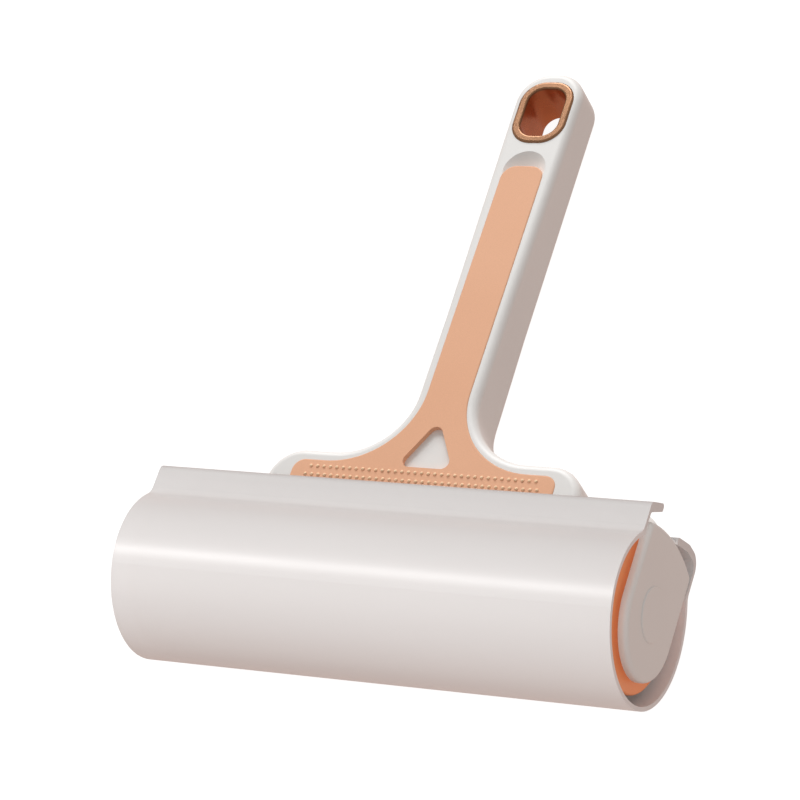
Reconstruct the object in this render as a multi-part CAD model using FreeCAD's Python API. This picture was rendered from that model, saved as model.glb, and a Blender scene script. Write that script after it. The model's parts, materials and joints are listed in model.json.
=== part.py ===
import FreeCAD, Part
import math
import os

# Lint roller for a 160 mm sticky-paper refill, with a translucent slide-on dust cover.
#
# Everything is drawn in the roller's own axes and laid down on its rest surface at the end:
#   X  along the roller's axle
#   U  from the axle towards the end of the handle
#   W  from the back of the handle towards its padded front
# The axle is at U = 0, W = 0. All sizes are in millimetres.

# ---------------------------------------------------------------- roller
paper_length = 160.0
paper_radius = 24.2
core_inner_radius = 19.0
core_wall = 1.5

drum_radius = 18.2
drum_wall = 2.0
drum_half_length = 80.1
rib_count = 6
rib_half_width = 0.8
rib_clearance = 0.05
rib_end_gap = 6.0

cap_radius = 24.6
cap_disc = 2.2
cap_rim = 0.8
cap_face_x = 82.5           # outer face of each end cap
spigot_depth = 14.0         # how far a cap reaches into the drum, from its outer face
spigot_wall = 1.8
cap_hub_radius = 7.0
cap_web_count = 6
cap_web_half_width = 0.7

# ---------------------------------------------------------------- dust cover
cover_length = 172.0
cover_radius = 29.0
cover_wall = 1.4
shoulder_radius = 25.1      # the flatter arc that runs up to the front crease
shoulder_start = 25.0       # where that arc leaves the round part, in degrees below the W axis
neck_front_w = 19.9
neck_back_w = -22.6
crease_blend = 5.0
slot_front_w = 11.2         # the slot that the frame stands in
slot_back_w = -4.6
front_lip_foot_u = 27.5     # top of the front lip, at the neck and at its tip
front_lip_tip_u = 31.9
front_lip_root_u = 24.6     # underside of the front lip, at the neck and at its tip
front_lip_under_u = 29.0
front_lip_corner = 2.5
front_lip_inner_corner = 1.5
back_lip_top_u = 31.9
back_lip_bend_w = -13.5     # the back lip slopes down from here to its tip
back_lip_tip_u = 29.4
back_lip_wall = 2.6
back_lip_under_u = 27.0
back_lip_corner = 5.0
tip_rounding = 1.0

# ---------------------------------------------------------------- frame and axle
arm_inner_x = 84.0
arm_outer_x = 87.0
arm_front_w = 17.2
arm_back_w = -19.2
arm_crown_u = 26.2          # top of an arm on its centre line
arm_front_shoulder_u = 22.1 # top of an arm at its front and back edges
arm_back_shoulder_u = 23.4
arm_bottom_u = -20.4
arm_side_end_u = -1.5       # where the straight sides turn into the round bottom
arm_corner = 2.5
arm_edge = 1.6
hub_radius = 6.5
hub_end_x = 82.8

axle_radius = 4.0
axle_clearance = 0.05
axle_end_x = 70.0
axle_tip_chamfer = 0.6
axle_head_radius = 8.6
axle_head_proud = 0.4
axle_head_sunk = 1.0
axle_head_edge = 0.35

beam_bottom_u = 26.3
beam_top_u = 30.8
beam_front_w = 8.0
beam_back_w = -2.8
elbow_radius = 13.0
elbow_bottom_u = 25.1       # the beam is deeper past the end of the paper
elbow_start_x = 80.8

tongue_half_depth = 2.5
tongue_half_length = 46.0
tongue_top_u = 42.0
tongue_stem_half = 6.8
tongue_stem_u = 80.0
tongue_shoulder = 6.0       # rounding of the tongue's shoulders, neck and end
tongue_neck_fillet = 8.0
tongue_end_corner = 3.0

# ---------------------------------------------------------------- handle
tee_half_length = 55.5
tee_top_u = 45.0
tee_corner = 12.0
neck_fillet = 23.0
waist_half_width = 11.0
waist_u = 100.0
waist_blend = 200.0
end_half_width = 12.3
end_u = 196.3
end_corner = 11.2
front_w = 7.2
front_edge = 2.6
tee_back_w = -7.2
tee_back_end_u = 48.0
stem_back_start = (64.0, -12.6)  # U and W where the back of the stem is deepest
stem_back_end_w = -8.6
ramp_blends = (20.0, 30.0)       # rounding of the back where it leaves the T and where it turns
back_edge = 3.0
split_w = -1.0              # parting plane of the two handle shells

pad_half_width = 7.6
pad_end_u = 157.5
pad_end_corner = 5.0
pad_foot_half_length = 46.5
pad_foot_top_u = 40.8
pad_foot_top_corner = 4.2
pad_foot_bottom_u = 32.4
pad_foot_bottom_corner = 2.0
pad_flare = 28.0
pad_depth = 1.6
pad_proud = 0.25
pad_edge = 0.45
bump_radius = 0.68
bump_proud = 0.48
bump_pitch = 2.34
bump_rows = [(38.4, 35), (35.3, 36)]

window_base_u = 40.4
window_apex_u = 58.4
window_half_base = 10.0
window_corner = 2.6

scoop_radius = 7.6          # rim of the finger scoop above the pad
scoop_depth = 2.6
scoop_u = 156.0

hole_u = 179.5
hole_half_width = 6.9
hole_half_length = 9.7
hole_corner = 5.4
liner_wall = 1.5
flange_reach = 2.9
flange_sunk = 0.9
flange_proud = 0.5
flange_edge = 0.8
mouth_edge = 0.6

stem_cavity = (84.0, 163.0)  # start and end of the hollow in the stem, along U
stem_cavity_half = 7.9
stem_cavity_corner = 3.0
stem_back_wall = 2.2
cavity_front_w = 3.0

screw_places = [(-38.0, 36.6), (38.0, 36.6), (0.0, 68.0), (0.0, 108.0), (0.0, 150.0)]
tongue_screws = 3           # the first three also pass through the frame's tongue
screw_radius = 1.3
screw_clearance = 0.05
screw_seat_w = -4.8
screw_tip_w = 2.4
screw_tip_gap = 0.6
screw_head_radius = 2.7
screw_head_depth = 1.4
screw_slot_depth = 0.8
screw_slot_half_length = 1.6
screw_slot_half_width = 0.4
plug_radius = 3.0
post_radius = 3.2
post_clearance = 0.1
boss_radius = 4.4           # the thicker foot of each post, round the head and plug
boss_top_w = -3.2

join = 0.1                  # how far two fused pieces run into each other
overrun = 1.0               # how far a cut or a stub runs past the face that it meets
touch = 0.01                # two places nearer than this are the same place
edge_samples = 5            # points looked at along an edge to tell where it lies
face_lean = 0.5             # a face looks along W if more than this much of its normal does
beyond = 60.0               # how far a cutting tool runs past what it cuts
far_u = 250.0


# ---------------------------------------------------------------- shape helpers
def vec(x, u, w):
    return FreeCAD.Vector(x, u, w)


def block(x_range, u_range, w_range):
    size = [high - low for low, high in (x_range, u_range, w_range)]
    return Part.makeBox(*size, vec(x_range[0], u_range[0], w_range[0]))


def rod_x(radius, start, end):
    """A round bar on the axle's line."""
    low, high = min(start, end), max(start, end)
    return Part.makeCylinder(radius, high - low, vec(low, 0, 0), vec(1, 0, 0))


def rod_w(radius, x, u, low, high):
    """A round bar through the thickness of the handle."""
    return Part.makeCylinder(radius, high - low, vec(x, u, low), vec(0, 0, 1))


def tube_x(outer, inner, start, end):
    return rod_x(outer, start, end).cut(rod_x(inner, start, end))


def spokes(spoke, count):
    """Copies of a shape at equal steps round the axle."""
    copies = []
    for i in range(count):
        copy = spoke.copy()
        copy.rotate(vec(0, 0, 0), vec(1, 0, 0), i * 360.0 / count)
        copies.append(copy)
    return copies


def rounded_outline(corners):
    """A closed wire in the XU plane through (x, u, radius) corners, each rounded by its arc."""
    starts, ends, middles = [], [], []
    count = len(corners)
    for i, (x, u, radius) in enumerate(corners):
        here = vec(x, u, 0)
        before = vec(*corners[i - 1][:2], 0)
        after = vec(*corners[(i + 1) % count][:2], 0)
        to_before = (before - here).normalize()
        to_after = (after - here).normalize()
        half_angle = to_before.getAngle(to_after) / 2
        reach = radius / math.tan(half_angle)
        bisector = (to_before + to_after).normalize()
        centre = here + bisector * (radius / math.sin(half_angle))
        starts.append(here + to_before * reach)
        ends.append(here + to_after * reach)
        middles.append(centre - bisector * radius)
    edges = []
    for i in range(count):
        if corners[i][2] > 0:
            edges.append(Part.Arc(starts[i], middles[i], ends[i]).toShape())
        edges.append(Part.makeLine(ends[i], starts[(i + 1) % count]))
    return Part.Wire(edges)


def plate(corners, low, high):
    """The solid between two W planes inside a rounded outline."""
    face = Part.Face(rounded_outline(corners))
    face.translate(vec(0, 0, low))
    return face.extrude(vec(0, 0, high - low))


def bar_x(profile, half_length):
    """The solid along X whose section is a rounded outline of (u, w, radius) corners."""
    bar = plate([(-w, u, radius) for u, w, radius in profile], -half_length, half_length)
    bar.rotate(vec(0, 0, 0), vec(0, 1, 0), 90)
    return bar


def mirrored(right_half):
    """A symmetric outline from the corners of its +X half, listed upwards."""
    left_half = [(-x, u, radius) for x, u, radius in reversed(right_half)]
    return right_half + left_half


def rounded_slot(half_width, half_length, corner, u):
    return mirrored([(half_width, u - half_length, corner), (half_width, u + half_length, corner)])


def on_side(shape, side):
    """The shape as drawn for +X, or its mirror image for -X."""
    if side > 0:
        return shape
    return shape.mirror(vec(0, 0, 0), vec(1, 0, 0))


def near(value, target):
    return abs(value - target) < touch


def edges_where(shape, test):
    """The edges whose every sample point passes the test."""
    return [edge for edge in shape.Edges if all(test(point) for point in edge.discretize(edge_samples))]


def round_along_x(body, places):
    """Rounds the edges that run along X through each (u, w, radius)."""
    for u, w, radius in places:
        body = body.makeFillet(radius, edges_where(body, lambda p: near(p.y, u) and near(p.z, w)))
    return body


def rim_edges(body, direction, above_u):
    """The outer edges of the faces that look along W, leaving out those at the foot."""
    edges = []
    for face in body.Faces:
        u_low, u_high, v_low, v_high = face.ParameterRange
        normal = face.normalAt((u_low + u_high) / 2, (v_low + v_high) / 2)
        if normal.z * direction > face_lean:
            edges += face.Edges
    outer = [edge for edge in edges if sum(edge.isSame(other) for other in edges) == 1]
    return [edge for edge in outer if edge.CenterOfMass.y > above_u]


# ---------------------------------------------------------------- dust cover
def cover_skin(inset, half_length, lip_corners):
    """A solid bar with the cover's section, closed over the top through (u, w) lip corners."""
    def at(u, w):
        return vec(-half_length, u, w)

    start = math.radians(-shoulder_start)
    round_radius = cover_radius - inset
    arc_radius = shoulder_radius - inset
    centre_u = (cover_radius - shoulder_radius) * math.sin(start)
    centre_w = (cover_radius - shoulder_radius) * math.cos(start)
    end = math.acos((neck_front_w - inset - centre_w) / arc_radius)

    def on_shoulder(angle):
        return at(centre_u + arc_radius * math.sin(angle), centre_w + arc_radius * math.cos(angle))

    back_w = neck_back_w + inset
    back_crease = at(math.sqrt(round_radius ** 2 - back_w ** 2), back_w)
    front_crease = on_shoulder(end)
    edges = [
        Part.Arc(back_crease, at(-round_radius, 0), on_shoulder(start)).toShape(),
        Part.Arc(on_shoulder(start), on_shoulder((start + end) / 2), front_crease).toShape(),
    ]
    corners = [front_crease] + [at(u, w) for u, w in lip_corners] + [back_crease]
    edges += [Part.makeLine(a, b) for a, b in zip(corners, corners[1:])]
    bar = Part.Face(Part.Wire(edges)).extrude(vec(2 * half_length, 0, 0))
    blend = crease_blend + inset
    creases = [(front_crease.y, front_crease.z, blend), (back_crease.y, back_crease.z, blend)]
    return round_along_x(bar, creases)


def dust_cover():
    """A springy trough with two lips that leave a slot for the frame and handle."""
    outside = cover_skin(0.0, cover_length / 2, [
        (front_lip_foot_u, neck_front_w),
        (front_lip_tip_u, slot_front_w),
        (back_lip_tip_u, slot_back_w),
        (back_lip_top_u, back_lip_bend_w),
        (back_lip_top_u, neck_back_w),
    ])
    outside = round_along_x(outside, [
        (front_lip_foot_u, neck_front_w, front_lip_corner),
        (back_lip_top_u, back_lip_bend_w, back_lip_corner),
        (back_lip_top_u, neck_back_w, back_lip_corner),
    ])
    under_u = back_lip_top_u - back_lip_wall
    inside = cover_skin(cover_wall, cover_length / 2 + overrun, [
        (front_lip_root_u, neck_front_w - cover_wall),
        (front_lip_under_u, slot_front_w),
        (beyond, slot_front_w),
        (beyond, slot_back_w),
        (back_lip_under_u, slot_back_w),
        (under_u, back_lip_bend_w),
        (under_u, neck_back_w + cover_wall),
    ])
    inside = round_along_x(inside, [
        (front_lip_root_u, neck_front_w - cover_wall, front_lip_inner_corner),
        (under_u, back_lip_bend_w, back_lip_corner - back_lip_wall),
        (under_u, neck_back_w + cover_wall, back_lip_corner - cover_wall),
    ])
    return round_along_x(outside.cut(inside), [
        (front_lip_tip_u, slot_front_w, tip_rounding),
        (front_lip_under_u, slot_front_w, tip_rounding),
        (back_lip_tip_u, slot_back_w, tip_rounding),
        (back_lip_under_u, slot_back_w, tip_rounding),
    ])


# ---------------------------------------------------------------- roller
def paper_roll():
    return tube_x(paper_radius, core_inner_radius + core_wall, -paper_length / 2, paper_length / 2)


def cardboard_core():
    return tube_x(core_inner_radius + core_wall, core_inner_radius, -paper_length / 2, paper_length / 2)


def roller_drum():
    """The spool that the cardboard core slides on to, with ribs that centre it."""
    drum = tube_x(drum_radius, drum_radius - drum_wall, -drum_half_length, drum_half_length)
    rib_half_length = paper_length / 2 - rib_end_gap
    rib_top = math.sqrt((core_inner_radius - rib_clearance) ** 2 - rib_half_width ** 2)
    rib = block((-rib_half_length, rib_half_length), (drum_radius - drum_wall / 2, rib_top),
                (-rib_half_width, rib_half_width))
    return drum.fuse(spokes(rib, rib_count)).removeSplitter()


def end_cap(side):
    """A disc with a plug that presses into the drum and a bored hub that turns on the axle."""
    spigot_radius = drum_radius - drum_wall
    spigot_end = cap_face_x - spigot_depth
    disc_back = cap_face_x - cap_disc
    cap = rod_x(cap_radius, disc_back, cap_face_x)
    face_edges = edges_where(cap, lambda p: near(p.x, cap_face_x))
    cap = cap.makeFillet(cap_rim, face_edges)
    cap = cap.fuse(tube_x(spigot_radius, spigot_radius - spigot_wall, spigot_end, disc_back + join))
    cap = cap.fuse(rod_x(cap_hub_radius, spigot_end, disc_back + join))
    web = block((spigot_end + cap_disc, disc_back + join),
                (cap_hub_radius - overrun, spigot_radius - spigot_wall / 2),
                (-cap_web_half_width, cap_web_half_width))
    cap = cap.fuse(spokes(web, cap_web_count))
    bore = rod_x(axle_radius + axle_clearance, spigot_end - overrun, cap_face_x + overrun)
    return on_side(cap.cut(bore).removeSplitter(), side)


# ---------------------------------------------------------------- frame
def arm():
    """One arm: a plate round the axle with a crowned top, drawn for +X."""
    def at(u, w):
        return vec(arm_inner_x, u, w)

    middle_w = (arm_front_w + arm_back_w) / 2
    edges = [
        Part.Arc(at(arm_back_shoulder_u, arm_back_w), at(arm_crown_u, middle_w),
                 at(arm_front_shoulder_u, arm_front_w)).toShape(),
        Part.makeLine(at(arm_front_shoulder_u, arm_front_w), at(arm_side_end_u, arm_front_w)),
        Part.Arc(at(arm_side_end_u, arm_front_w), at(arm_bottom_u, middle_w),
                 at(arm_side_end_u, arm_back_w)).toShape(),
        Part.makeLine(at(arm_side_end_u, arm_back_w), at(arm_back_shoulder_u, arm_back_w)),
    ]
    body = Part.Face(Part.Wire(edges)).extrude(vec(arm_outer_x - arm_inner_x, 0, 0))
    body = round_along_x(body, [
        (arm_front_shoulder_u, arm_front_w, arm_corner),
        (arm_back_shoulder_u, arm_back_w, arm_corner),
    ])
    return body.makeFillet(arm_edge, edges_where(body, lambda p: near(p.x, arm_outer_x)))


def beam():
    """The bar past the roll, bent down at both ends into the arms."""
    elbow_end_u = beam_top_u - elbow_radius - join
    inside_arm_x = arm_inner_x + join
    outline = mirrored([
        (elbow_start_x, beam_bottom_u, 0),
        (elbow_start_x, elbow_bottom_u, 0),
        (inside_arm_x, elbow_bottom_u, 0),
        (inside_arm_x, elbow_end_u, 0),
        (arm_outer_x, elbow_end_u, 0),
        (arm_outer_x, beam_top_u, elbow_radius),
    ])
    return plate(outline, beam_back_w, beam_front_w)


def tongue_outline():
    return mirrored([
        (tongue_half_length, beam_top_u - overrun, 0),
        (tongue_half_length, tongue_top_u, tongue_shoulder),
        (tongue_stem_half, tongue_top_u, tongue_neck_fillet),
        (tongue_stem_half, tongue_stem_u, tongue_end_corner),
    ])


def yoke_frame():
    """Both arms, the beam that joins them past the roll, and the tongue inside the handle."""
    frame = beam()
    for side in (-1, 1):
        frame = frame.fuse(on_side(arm(), side))
        frame = frame.fuse(rod_x(hub_radius, side * hub_end_x, side * (arm_inner_x + join)))
    for side in (-1, 1):
        outside = side * (arm_outer_x + overrun)
        frame = frame.cut(rod_x(axle_radius, side * (hub_end_x - overrun), outside))
        seat = arm_outer_x - axle_head_sunk
        frame = frame.cut(rod_x(axle_head_radius, side * seat, outside))
    tongue = plate(tongue_outline(), -tongue_half_depth, tongue_half_depth)
    for x, u in screw_places[:tongue_screws]:
        tongue = tongue.cut(rod_w(post_radius + post_clearance, x, u, -beyond, beyond))
    return frame.fuse(tongue).removeSplitter()


def axle_pin(side):
    """A pin pressed through the arm's hub, with a wide flat head let into the arm."""
    seat = arm_outer_x - axle_head_sunk
    top = arm_outer_x + axle_head_proud
    pin = rod_x(axle_radius, axle_end_x, seat + join)
    pin = pin.makeChamfer(axle_tip_chamfer, edges_where(pin, lambda p: near(p.x, axle_end_x)))
    head = rod_x(axle_head_radius, seat, top)
    head = head.makeFillet(axle_head_edge, edges_where(head, lambda p: near(p.x, top)))
    return on_side(pin.fuse(head).removeSplitter(), side)


# ---------------------------------------------------------------- handle
def handle_outline():
    return mirrored([
        (tee_half_length, beam_top_u, 0),
        (tee_half_length, tee_top_u, tee_corner),
        (waist_half_width, tee_top_u, neck_fillet),
        (waist_half_width, waist_u, waist_blend),
        (end_half_width, end_u, end_corner),
    ])


def stem_back_w(u):
    """The flat back of the stem, which gets shallower towards the end of the handle."""
    start_u, start_w = stem_back_start
    return start_w + (stem_back_end_w - start_w) * (u - start_u) / (end_u - start_u)


def handle_body():
    """The solid handle with its outer edges rounded."""
    past_end = end_u + join
    side_profile = [
        (beam_top_u - join, tee_back_w, 0),
        (tee_back_end_u, tee_back_w, ramp_blends[0]),
        (*stem_back_start, ramp_blends[1]),
        (past_end, stem_back_w(past_end), 0),
        (past_end, front_w, 0),
        (beam_top_u - join, front_w, 0),
    ]
    body = plate(handle_outline(), -beyond, beyond).common(bar_x(side_profile, beyond))
    above_foot = beam_top_u + touch
    body = body.makeFillet(front_edge, rim_edges(body, 1, above_foot))
    return body.makeFillet(back_edge, rim_edges(body, -1, above_foot))


def pad_outline():
    return mirrored([
        (pad_foot_half_length, pad_foot_bottom_u, pad_foot_bottom_corner),
        (pad_foot_half_length, pad_foot_top_u, pad_foot_top_corner),
        (pad_half_width, pad_foot_top_u, pad_flare),
        (pad_half_width, pad_end_u, pad_end_corner),
    ])


def window_outline():
    return [
        (window_half_base, window_base_u, window_corner),
        (0.0, window_apex_u, window_corner),
        (-window_half_base, window_base_u, window_corner),
    ]


def liner_outline(grow):
    return rounded_slot(hole_half_width + grow, hole_half_length + grow, hole_corner + grow, hole_u)


def stem_hollow():
    low, high = stem_cavity
    middle, half = (low + high) / 2, (high - low) / 2
    corners = rounded_slot(stem_cavity_half, half, stem_cavity_corner, middle)
    start, end = low - overrun, high + overrun
    side_profile = [
        (start, stem_back_w(start) + stem_back_wall, 0),
        (end, stem_back_w(end) + stem_back_wall, 0),
        (end, cavity_front_w, 0),
        (start, cavity_front_w, 0),
    ]
    return plate(corners, -beyond, beyond).common(bar_x(side_profile, beyond))


def scoop():
    """A shallow ball-shaped hollow cut into the front face."""
    ball_radius = (scoop_radius ** 2 + scoop_depth ** 2) / (2 * scoop_depth)
    return Part.makeSphere(ball_radius, vec(0, scoop_u, front_w - scoop_depth + ball_radius))


def hollowed(body):
    body = body.cut(plate(tongue_outline(), -tongue_half_depth, tongue_half_depth))
    body = body.cut(stem_hollow())
    return body.cut(plate(liner_outline(liner_wall), -beyond, beyond))


def handle_front_shell(body):
    shell = hollowed(body).common(block((-beyond, beyond), (0, far_u), (split_w, beyond)))
    shell = shell.cut(plate(pad_outline(), front_w - pad_depth, beyond))
    shell = shell.cut(plate(liner_outline(flange_reach), front_w - flange_sunk, beyond))
    shell = shell.cut(scoop())
    for x, u in screw_places:
        post = rod_w(post_radius, x, u, split_w, cavity_front_w + join)
        bore = rod_w(screw_radius + screw_clearance, x, u, split_w - overrun, screw_tip_w + screw_tip_gap)
        shell = shell.fuse(post).cut(bore)
    return shell.removeSplitter()


def handle_back_shell(body):
    shell = hollowed(body).common(block((-beyond, beyond), (0, far_u), (-beyond, split_w)))
    for x, u in screw_places:
        post = rod_w(post_radius, x, u, -beyond, split_w).common(body)
        boss = rod_w(boss_radius, x, u, -beyond, boss_top_w).common(body)
        hole = rod_w(screw_radius + screw_clearance, x, u, -beyond, beyond)
        seat = rod_w(plug_radius, x, u, -beyond, screw_seat_w)
        shell = shell.fuse([post, boss]).cut(hole).cut(seat)
    return shell.removeSplitter()


def grip_pad():
    face_w = front_w + pad_proud
    pad = plate(pad_outline(), front_w - pad_depth, face_w)
    pad = pad.makeFillet(pad_edge, edges_where(pad, lambda p: near(p.z, face_w)))
    pad = pad.cut(plate(window_outline(), -beyond, beyond))
    bumps = []
    for u, count in bump_rows:
        for i in range(count):
            x = (i - (count - 1) / 2) * bump_pitch
            bumps.append(Part.makeSphere(bump_radius, vec(x, u, face_w + bump_proud - bump_radius)))
    return pad.fuse(bumps).removeSplitter()


def hole_liner(body):
    """The ring round the hanging hole: a sleeve through the handle with a flange in front."""
    top = front_w + flange_proud
    shelf = front_w - flange_sunk
    flange = plate(liner_outline(flange_reach), shelf, top)
    flange = flange.makeFillet(flange_edge, edges_where(flange, lambda p: near(p.z, top)))
    sleeve = plate(liner_outline(liner_wall), -beyond, shelf + join).common(body)
    liner = flange.fuse(sleeve).cut(plate(liner_outline(0.0), -beyond, beyond)).removeSplitter()

    def on_mouth(point):
        inside_x = abs(point.x) < hole_half_width + touch
        return near(point.z, top) and inside_x and abs(point.y - hole_u) < hole_half_length + touch

    return liner.makeFillet(mouth_edge, edges_where(liner, on_mouth))


def handle_screw(x, u):
    """A cross-head screw, driven in from the back."""
    top = screw_seat_w - screw_head_depth
    shank = rod_w(screw_radius, x, u, screw_seat_w - join, screw_tip_w)
    screw = shank.fuse(rod_w(screw_head_radius, x, u, top, screw_seat_w))
    slot = block((x - screw_slot_half_length, x + screw_slot_half_length),
                 (u - screw_slot_half_width, u + screw_slot_half_width), (-beyond, top + screw_slot_depth))
    for angle in (0, 90):
        turned = slot.copy()
        turned.rotate(vec(x, u, 0), vec(0, 0, 1), angle)
        screw = screw.cut(turned)
    return screw.removeSplitter()


def screw_plug(x, u, body):
    """The stopper over one screw head, flush with the back of the handle."""
    return rod_w(plug_radius, x, u, -beyond, screw_seat_w - screw_head_depth).common(body)


# ---------------------------------------------------------------- laying the part down
def rest_tilt():
    """How far the handle dips when the cover and the handle's end both touch the surface."""
    start_u, start_w = stem_back_start
    back_slope = math.atan2(stem_back_end_w - start_w, end_u - start_u)
    run = end_u - back_edge
    drop = -stem_back_w(run) - back_edge / math.cos(back_slope)
    needed = cover_radius - back_edge
    return math.degrees(math.asin(needed / math.hypot(run, drop)) - math.atan2(drop, run))


def build():
    body = handle_body()
    parts = {
        "handle_front_shell": handle_front_shell(body),
        "handle_back_shell": handle_back_shell(body),
        "grip_pad": grip_pad(),
        "hanging_hole_liner": hole_liner(body),
        "yoke_frame": yoke_frame(),
        "axle_pin_left": axle_pin(-1),
        "axle_pin_right": axle_pin(1),
        "end_cap_left": end_cap(-1),
        "end_cap_right": end_cap(1),
        "roller_drum": roller_drum(),
        "cardboard_core": cardboard_core(),
        "sticky_paper_roll": paper_roll(),
        "dust_cover": dust_cover(),
    }
    for number, (x, u) in enumerate(screw_places, start=1):
        parts["handle_screw_%d" % number] = handle_screw(x, u)
        parts["screw_plug_%d" % number] = screw_plug(x, u, body)
    tilt = rest_tilt()
    for shape in parts.values():
        shape.rotate(vec(0, 0, 0), vec(1, 0, 0), -tilt)
    box = Part.makeCompound(list(parts.values())).optimalBoundingBox(False)
    for shape in parts.values():
        shape.translate(vec(0, -(box.YMin + box.YMax) / 2, cover_radius))
    return parts


os.makedirs("parts", exist_ok=True)
for name, shape in build().items():
    shape.exportStep("parts/" + name + ".step")
    print(name, "solids", len(shape.Solids), "valid", shape.isValid(), "volume %.0f" % shape.Volume)
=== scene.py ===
import json
import math

import bmesh
import bpy
from mathutils import Matrix, Vector


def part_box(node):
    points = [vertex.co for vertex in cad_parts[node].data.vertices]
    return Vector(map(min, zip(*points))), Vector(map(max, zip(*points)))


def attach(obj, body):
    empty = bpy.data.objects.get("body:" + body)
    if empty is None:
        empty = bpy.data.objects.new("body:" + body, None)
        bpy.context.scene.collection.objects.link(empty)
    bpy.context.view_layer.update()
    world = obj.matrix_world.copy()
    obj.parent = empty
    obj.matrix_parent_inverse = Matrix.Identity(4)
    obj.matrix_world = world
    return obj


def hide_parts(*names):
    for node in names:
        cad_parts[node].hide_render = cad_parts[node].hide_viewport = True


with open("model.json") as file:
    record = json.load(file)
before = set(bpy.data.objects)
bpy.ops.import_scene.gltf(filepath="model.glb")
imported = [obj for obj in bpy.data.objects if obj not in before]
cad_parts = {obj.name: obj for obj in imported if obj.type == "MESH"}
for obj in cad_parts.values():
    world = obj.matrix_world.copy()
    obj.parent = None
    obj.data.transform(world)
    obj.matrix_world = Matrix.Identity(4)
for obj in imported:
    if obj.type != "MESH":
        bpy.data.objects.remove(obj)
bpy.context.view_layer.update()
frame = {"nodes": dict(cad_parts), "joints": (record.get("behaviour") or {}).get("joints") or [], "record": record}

# ---------------------------------------------------------------- places, read from the frame
nodes = frame["nodes"]
spin = next(joint for joint in frame["joints"] if joint["name"] == "roller_spin")
hole = next(mount for mount in frame["record"]["mounts"] if mount["name"] == "hanging_hole")
axle = Vector(spin["pos_m"])            # the middle of the axle
across = Vector((1.0, 0.0, 0.0))        # along the axle
outward = Vector(hole["axis"])          # out of the padded front of the handle
upward = outward.cross(across)          # from the axle towards the handle's end


def roller_axes(x, u, w):
    """A vector given along the axle, towards the handle's end and out of its front."""
    return across * x + upward * u + outward * w


# ---------------------------------------------------------------- node helpers
shade_ends = (0.3, 0.7)                 # noise values that give the two shades of a colour
roughness_ends = (0.15, 0.85)           # noise values that give the two ends of a roughness


class Look:
    """One procedural material, built around a Principled shader."""

    def __init__(self, name, **sockets):
        self.material = bpy.data.materials.new(name)
        self.material.use_nodes = True
        self.tree = self.material.node_tree
        self.shader = self.tree.nodes["Principled BSDF"]
        for socket, value in sockets.items():
            self.shader.inputs[socket.replace("_", " ")].default_value = value
        self.place = self.add("ShaderNodeTexCoord").outputs["Object"]

    def add(self, kind, **settings):
        node = self.tree.nodes.new(kind)
        for key, value in settings.items():
            setattr(node, key, value)
        return node

    def link(self, source, target):
        self.tree.links.new(source, target)

    def noise(self, scale, detail, stretch=(1.0, 1.0, 1.0)):
        """Noise in the object's own metres, with scale in features per metre."""
        spread = self.add("ShaderNodeMapping")
        spread.inputs["Scale"].default_value = stretch
        self.link(self.place, spread.inputs["Vector"])
        texture = self.add("ShaderNodeTexNoise")
        texture.inputs["Scale"].default_value = scale
        texture.inputs["Detail"].default_value = detail
        self.link(spread.outputs["Vector"], texture.inputs["Vector"])
        return texture.outputs["Fac"]

    def ramp(self, value, *stops):
        """Colours or greys at the given positions of a 0 to 1 value."""
        node = self.add("ShaderNodeValToRGB")
        elements = node.color_ramp.elements
        while len(elements) < len(stops):
            elements.new(0.5)
        for element, (position, colour) in zip(elements, stops):
            element.position = position
            element.color = (*colour, 1.0) if isinstance(colour, tuple) else (colour, colour, colour, 1.0)
        self.link(value, node.inputs["Fac"])
        return node.outputs["Color"]

    def shades(self, value, first, second):
        """A colour that drifts between two shades with a noise."""
        return self.ramp(value, *zip(shade_ends, (first, second)))

    def mix(self, amount, first, second, blend="MIX"):
        """Blends two colours, each of them a socket or a plain colour."""
        node = self.add("ShaderNodeMix", data_type="RGBA", blend_type=blend)
        inputs = {socket.identifier: socket for socket in node.inputs}
        for key, value in (("Factor_Float", amount), ("A_Color", first), ("B_Color", second)):
            if isinstance(value, bpy.types.NodeSocket):
                self.link(value, inputs[key])
            else:
                inputs[key].default_value = value
        return next(socket for socket in node.outputs if socket.identifier == "Result_Color")

    def distance_along(self, direction, start):
        """How far a point lies from start along a direction, in metres."""
        offset = self.add("ShaderNodeVectorMath", operation="SUBTRACT")
        offset.inputs[1].default_value = start
        self.link(self.place, offset.inputs[0])
        along = self.add("ShaderNodeVectorMath", operation="DOT_PRODUCT")
        along.inputs[1].default_value = direction
        self.link(offset.outputs["Vector"], along.inputs[0])
        return along.outputs["Value"]

    def span(self, value, low, high, kind="SMOOTHSTEP"):
        """0 below low, 1 above high, and a steady or smooth rise in between."""
        node = self.add("ShaderNodeMapRange", interpolation_type=kind)
        node.inputs["From Min"].default_value = low
        node.inputs["From Max"].default_value = high
        self.link(value, node.inputs["Value"])
        return node.outputs["Result"]

    def colour(self, source):
        self.link(source, self.shader.inputs["Base Color"])

    def roughness(self, value, smoothest, roughest):
        source = self.ramp(value, *zip(roughness_ends, (smoothest, roughest)))
        self.link(source, self.shader.inputs["Roughness"])

    def bump(self, *layers):
        """Stacks bumps, each given as height, strength and distance in metres."""
        normal = None
        for height, strength, distance in layers:
            node = self.add("ShaderNodeBump")
            node.inputs["Strength"].default_value = strength
            node.inputs["Distance"].default_value = distance
            self.link(height, node.inputs["Height"])
            if normal is not None:
                self.link(normal, node.inputs["Normal"])
            normal = node.outputs["Normal"]
        self.link(normal, self.shader.inputs["Normal"])


def dress(look, names):
    """Gives the named CAD nodes one material."""
    for name in names:
        materials = nodes[name].data.materials
        materials.clear()
        materials.append(look.material)


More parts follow.
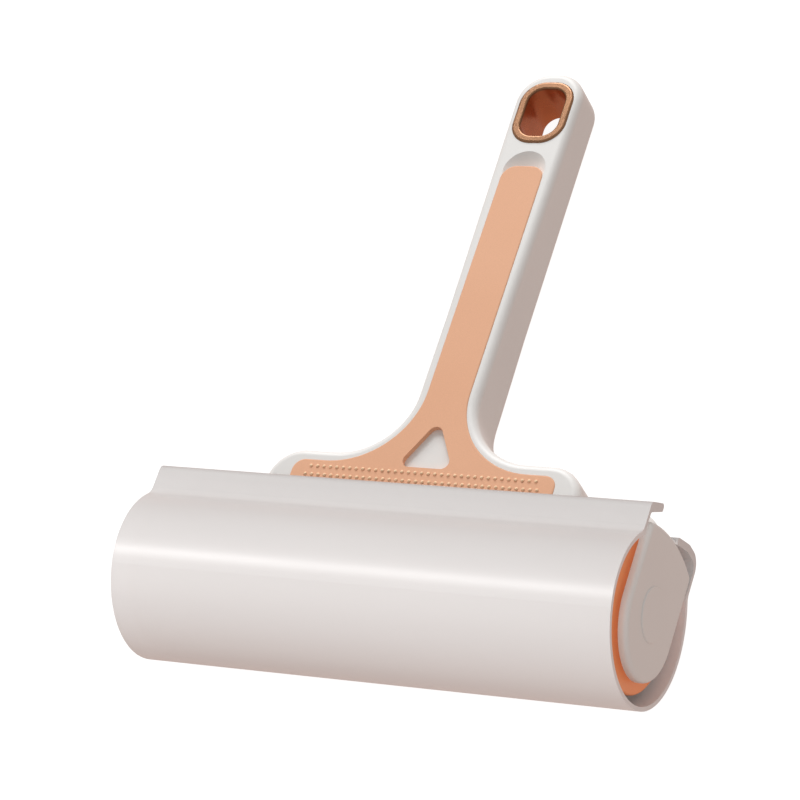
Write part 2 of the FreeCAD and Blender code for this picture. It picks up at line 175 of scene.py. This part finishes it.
def named(start):
    """The CAD nodes whose names begin that way."""
    return [name for name in nodes if name.startswith(start)]


# ---------------------------------------------------------------- materials
def moulded_white():
    look = Look("white_moulded_shell", IOR=1.5, Specular_IOR_Level=0.42)
    look.colour(look.shades(look.noise(18.0, 2.0), (0.80, 0.785, 0.765), (0.83, 0.815, 0.795)))
    look.roughness(look.noise(60.0, 4.0), 0.36, 0.46)
    waviness = look.noise(160.0, 2.0)
    grain = look.noise(5200.0, 2.0)
    look.bump((waviness, 0.05, 0.0004), (grain, 0.10, 0.00006))
    return look


def soft_peach():
    """Speckled rubber, with a painted highlight: paler peach on the tops of the bumps."""
    highlight_from, highlight_by = 0.00748, 0.00775       # metres in front of the axle, on the sides of the bumps, where the painted highlight fades in
    painted_highlight_peach = (0.98, 0.68, 0.44, 1.0)
    look = Look("peach_grip_rubber", IOR=1.45, Specular_IOR_Level=0.25,
                Sheen_Weight=0.12, Sheen_Roughness=0.5)
    base = look.shades(look.noise(22.0, 3.0), (0.85, 0.455, 0.277), (0.89, 0.490, 0.305))
    speck = look.ramp(look.noise(3800.0, 2.0), (0.35, 0.94), (0.65, 1.0))
    rubber = look.mix(1.0, base, speck, "MULTIPLY")
    # painted highlight: the tops of the bumps are drawn in a paler peach
    painted_highlight_mask = look.span(look.distance_along(outward, axle), highlight_from, highlight_by)
    look.colour(look.mix(painted_highlight_mask, rubber, painted_highlight_peach))
    look.roughness(look.noise(90.0, 4.0), 0.55, 0.68)
    grain = look.noise(2600.0, 3.0)
    look.bump((grain, 0.22, 0.00008))
    return look


def copper_ring():
    """Copper paint, brown on the flange and redder down the tunnel behind it."""
    red_below, brown_above = 0.0064, 0.0072     # metres in front of the axle, within the flange
    look = Look("copper_painted_liner", IOR=1.5, Metallic=0.6, Specular_IOR_Level=0.6)
    cloud = look.noise(70.0, 3.0)
    flange = look.shades(cloud, (0.27, 0.130, 0.062), (0.34, 0.165, 0.080))
    tunnel = look.shades(cloud, (0.46, 0.125, 0.036), (0.56, 0.165, 0.052))
    on_flange = look.span(look.distance_along(outward, axle), red_below, brown_above)
    look.colour(look.mix(on_flange, tunnel, flange))
    look.roughness(look.noise(260.0, 4.0), 0.22, 0.34)
    grain = look.noise(3600.0, 2.0)
    look.bump((grain, 0.08, 0.00006))
    return look


def terracotta_cap():
    look = Look("terracotta_cap", IOR=1.48, Specular_IOR_Level=0.4)
    look.colour(look.shades(look.noise(45.0, 3.0), (0.62, 0.215, 0.09), (0.68, 0.25, 0.11)))
    look.roughness(look.noise(120.0, 4.0), 0.36, 0.48)
    grain = look.noise(4200.0, 2.0)
    look.bump((grain, 0.10, 0.00006))
    return look


def frosted_polypropylene():
    """Frosted plastic with its flow lines along the axle, and painted shade: a little darker low on the cover and
    much darker along the neck towards the lip.
    """
    painted_shade_start, painted_shade_end = 0.010, 0.030         # metres from the axle towards the handle's end, over which the painted shade changes
    look = Look("frosted_cover", IOR=1.49, Specular_IOR_Level=0.5, Alpha=0.9)
    flow = look.noise(26.0, 3.0, stretch=(0.25, 1.0, 1.0))
    wall = look.shades(flow, (0.83, 0.80, 0.79), (0.86, 0.83, 0.82))
    height = look.span(look.distance_along(upward, axle), painted_shade_start, painted_shade_end, "LINEAR")
    # painted shade: 0.94 low down, full brightness round the shoulder, falling to 0.83 along the neck and lip
    painted_shade = look.ramp(height, (0.0, 0.94), (0.22, 0.99), (0.36, 1.0), (0.48, 0.87), (0.9, 0.83))
    look.colour(look.mix(1.0, wall, painted_shade, "MULTIPLY"))
    look.roughness(look.noise(45.0, 4.0, stretch=(0.3, 1.0, 1.0)), 0.27, 0.33)
    waviness = look.noise(35.0, 2.0, stretch=(0.2, 1.0, 1.0))
    grain = look.noise(5600.0, 2.0)
    look.bump((waviness, 0.04, 0.0006), (grain, 0.08, 0.00005))
    return look


def sticky_paper():
    look = Look("sticky_paper", IOR=1.47, Specular_IOR_Level=0.45,
                Coat_Weight=0.25, Coat_Roughness=0.3)
    fibre = look.noise(900.0, 4.0, stretch=(1.0, 3.0, 3.0))
    look.colour(look.shades(fibre, (0.74, 0.70, 0.65), (0.82, 0.785, 0.74)))
    look.roughness(look.noise(300.0, 4.0), 0.42, 0.6)
    waviness = look.noise(400.0, 3.0)
    look.bump((waviness, 0.12, 0.00010), (fibre, 0.1, 0.00005))
    return look


def cardboard():
    look = Look("core_board", Specular_IOR_Level=0.2)
    fibre = look.noise(700.0, 5.0, stretch=(1.0, 2.5, 2.5))
    look.colour(look.shades(fibre, (0.32, 0.21, 0.12), (0.43, 0.30, 0.19)))
    look.roughness(look.noise(300.0, 4.0), 0.75, 0.9)
    look.bump((fibre, 0.25, 0.00010))
    return look


def drum_grey():
    look = Look("drum_plastic", IOR=1.5, Specular_IOR_Level=0.4)
    look.colour(look.shades(look.noise(40.0, 3.0), (0.66, 0.64, 0.62), (0.71, 0.69, 0.67)))
    look.roughness(look.noise(150.0, 4.0), 0.4, 0.5)
    grain = look.noise(4200.0, 2.0)
    look.bump((grain, 0.10, 0.00006))
    return look


def zinc_steel():
    look = Look("screw_steel", Metallic=1.0)
    look.colour(look.shades(look.noise(900.0, 3.0), (0.50, 0.49, 0.47), (0.62, 0.61, 0.58)))
    look.roughness(look.noise(1500.0, 4.0), 0.24, 0.4)
    grain = look.noise(6000.0, 2.0)
    look.bump((grain, 0.10, 0.00004))
    return look


# ---------------------------------------------------------------- wound paper
def wound_paper(look):
    """The roll of sticky sheets: a spiral with a free edge, and layers that stand a little uneven."""
    turns = 14
    steps = 144                     # facets round the roll
    free_edge_angle = 0.6           # radians round the axle
    free_edge_step = 0.45           # height of the free edge, as a share of a layer
    deepest_tuck = 0.00016          # metres that a layer's edge may stand back from the roll's end
    outer_tuck = 0.00005            # the same for the first and the last edge
    tuck_rhythm = 2.4               # radians by which the wave of tucks moves on from edge to edge
    groove_depth = 0.00012          # metres, between one layer and the next

    low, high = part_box("sticky_paper_roll")
    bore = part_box("cardboard_core")
    outer = (high[1] - low[1]) / 2
    inner = (bore[1][1] - bore[0][1]) / 2
    half = (high[0] - low[0]) / 2
    sheet = (outer - inner) / turns
    edges = range(turns + 1)

    rings = []
    for side, order in ((-1, edges), (1, reversed(edges))):
        for i in order:
            between_layers = 0 < i < turns
            wave = 0.5 + 0.5 * math.sin(tuck_rhythm * i)
            tuck = deepest_tuck * wave if between_layers else outer_tuck
            for groove in (0.0, groove_depth) if between_layers else (0.0,):
                rings.append((inner + sheet * i + side * groove / 2, side * (half - tuck - groove)))

    mesh = bmesh.new()
    rows = []
    for ring, x in rings:
        on_core = ring < inner + sheet / 2      # the innermost ring stays round
        row = []
        for k in range(steps):
            share = k / steps
            angle = math.tau * share + free_edge_angle
            radius = ring if on_core else ring - sheet * free_edge_step * (1.0 - share)
            point = Vector((x, radius * math.cos(angle), radius * math.sin(angle)))
            row.append(mesh.verts.new(axle + point))
        rows.append(row)
    for row, following in zip(rows, rows[1:] + rows[:1]):
        for k in range(steps):
            after = (k + 1) % steps
            mesh.faces.new((row[k], row[after], following[after], following[k]))
    bmesh.ops.recalc_face_normals(mesh, faces=mesh.faces)
    data = bpy.data.meshes.new("wound_paper")
    mesh.to_mesh(data)
    mesh.free()
    data.materials.append(look.material)
    piece = bpy.data.objects.new("wound_paper", data)
    bpy.context.scene.collection.objects.link(piece)
    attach(piece, "roller")
    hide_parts("sticky_paper_roll")


# ---------------------------------------------------------------- stage
def floor():
    """A floor that glows nearly white by itself. It neither lights nor shades the roller."""
    half = 4.0
    corners = [(-half, -half, 0), (half, -half, 0), (half, half, 0), (-half, half, 0)]
    look = Look("studio_floor", Specular_IOR_Level=0.0, Roughness=1.0, Emission_Strength=0.94)
    look.colour(look.shades(look.noise(2.0, 2.0), (0.21, 0.208, 0.205), (0.22, 0.218, 0.215)))
    look.shader.inputs["Emission Color"].default_value = (1.0, 0.998, 0.995, 1.0)
    mesh = bpy.data.meshes.new("studio_floor")
    mesh.from_pydata(corners, [], [(0, 1, 2, 3)])
    mesh.materials.append(look.material)
    ground = bpy.data.objects.new("studio_floor", mesh)
    bpy.context.scene.collection.objects.link(ground)
    ground.visible_diffuse = False
    ground.visible_glossy = False
    ground.visible_shadow = False


def turned(place, right, top, back):
    """A world matrix at place whose X, Y and Z are the three directions."""
    return Matrix.Translation(place) @ Matrix((right, top, back)).transposed().to_4x4()


def group_of(name, members):
    group = bpy.data.collections.new(name)
    for member in members:
        group.objects.link(bpy.data.objects[member])
    return group


def panel_light(name, target, offset, size, power, lit, shaded_by=(),
                colour=(1.0, 1.0, 1.0), level=(0, 0, 1)):
    """A panel at an offset from target, facing it, that reaches only the objects in lit.

    If shaded_by names any, only those cast shadows in it, as if the frosted cover passed the light on.
    """
    data = bpy.data.lights.new(name, "AREA")
    data.shape = "RECTANGLE"
    data.size, data.size_y = size
    data.energy = power
    data.color = colour
    light = bpy.data.objects.new(name, data)
    bpy.context.scene.collection.objects.link(light)
    place = target + offset
    back = (place - target).normalized()
    right = Vector(level).cross(back).normalized()
    light.matrix_world = turned(place, right, back.cross(right), back)
    light.light_linking.receiver_collection = group_of(name + "_receivers", lit)
    if shaded_by:
        light.light_linking.blocker_collection = group_of(name + "_blockers", shaded_by)


def sky():
    """Near-white light from above, warm pinkish light from below."""
    below = (0.62, 0.465, 0.41, 1.0)
    above = (0.50, 0.495, 0.49, 1.0)
    pure_height = 0.25              # on a sphere of radius 1, above and below the horizon
    world = bpy.data.worlds.new("studio")
    world.use_nodes = True
    tree = world.node_tree
    place = tree.nodes.new("ShaderNodeTexCoord")
    split = tree.nodes.new("ShaderNodeSeparateXYZ")
    blend = tree.nodes.new("ShaderNodeMapRange")
    blend.inputs["From Min"].default_value = -pure_height
    blend.inputs["From Max"].default_value = pure_height
    ramp = tree.nodes.new("ShaderNodeValToRGB")
    for element, colour in zip(ramp.color_ramp.elements, (below, above)):
        element.color = colour
    tree.links.new(place.outputs["Generated"], split.inputs[0])
    tree.links.new(split.outputs["Z"], blend.inputs["Value"])
    tree.links.new(blend.outputs["Result"], ramp.inputs["Fac"])
    tree.links.new(ramp.outputs["Color"], tree.nodes["Background"].inputs["Color"])
    bpy.context.scene.world = world


def studio():
    """A key light on all but the cover, and panels on the cover, on what is under it and on each cap."""
    key_distance = 3.0
    strip_distance = 1.15
    distance = 1.1                              # of the other panels from the axle
    middle = Vector((0.0, 0.0, 0.03))           # what the key light faces
    cover = ["dust_cover"]
    core = ["wound_paper"]
    under_cover = named("end_cap") + ["yoke_frame"] + named("axle_pin") + core
    meshes = [piece.name for piece in bpy.data.objects if piece.type == "MESH"]
    uncovered = [name for name in meshes if name not in cover]

    way = roller_axes(-0.30, 0.86, 0.50).normalized()
    panel_light("key", middle, way * key_distance, size=(1.6, 1.6), power=76.0, lit=uncovered)
    way = roller_axes(-0.10, -0.35, 0.92).normalized()
    panel_light("cover_front", axle, way * distance, size=(1.8, 1.8), power=3.75, lit=cover,
                shaded_by=core, colour=(1.0, 0.975, 0.965))
    way = Vector((-0.47, 0.06, 0.87))
    panel_light("strip", axle, way * strip_distance, size=(0.9, 0.12), power=5.4, lit=cover,
                level=(0, 1, 0))
    way = roller_axes(-0.30, -0.30, 0.90).normalized()
    panel_light("through_cover", axle, way * distance, size=(1.0, 1.0), power=3.5, lit=under_cover,
                shaded_by=under_cover, colour=(1.0, 0.97, 0.95))
    way = roller_axes(0.30, -1.0, 0.10).normalized()
    panel_light("cover_under", axle, way * distance, size=(1.0, 1.0), power=1.3, lit=cover,
                shaded_by=core, colour=(1.0, 0.93, 0.90))
    for name, side in (("cap_right", 1.0), ("cap_left", -1.0)):
        way = roller_axes(side, -0.10, 0.30).normalized()
        panel_light(name, axle, way * distance, size=(0.8, 0.8), power=5.0, lit=["end_" + name],
                    shaded_by=["studio_floor"], colour=(1.0, 0.96, 0.92))


def camera():
    """A long lens above the roller, to its right and beyond it from the handle, rolled by 23 degrees."""
    data = bpy.data.cameras.new("product_camera")
    data.lens = 146.6
    data.sensor_width = 36.0
    eye = bpy.data.objects.new("product_camera", data)
    bpy.context.scene.collection.objects.link(eye)
    place = axle + roller_axes(0.46876, -0.40655, 0.80104)
    forward = roller_axes(-0.46522, 0.45193, -0.76113).normalized()
    top = roller_axes(-0.05341, 0.84396, 0.53375)
    right = forward.cross(top).normalized()
    eye.matrix_world = turned(place, right, right.cross(forward), -forward)
    bpy.context.scene.camera = eye


# ---------------------------------------------------------------- putting it together
shells = ["handle_front_shell", "handle_back_shell"]
dress(moulded_white(), shells + ["yoke_frame"] + named("axle_pin") + named("screw_plug"))
dress(soft_peach(), ["grip_pad"])
dress(copper_ring(), ["hanging_hole_liner"])
dress(terracotta_cap(), named("end_cap"))
dress(frosted_polypropylene(), ["dust_cover"])
paper = sticky_paper()
dress(paper, ["sticky_paper_roll"])
wound_paper(paper)
dress(cardboard(), ["cardboard_core"])
dress(drum_grey(), ["roller_drum"])
dress(zinc_steel(), named("handle_screw"))

floor()
sky()
studio()
camera()
bpy.context.scene.view_settings.view_transform = "Standard"
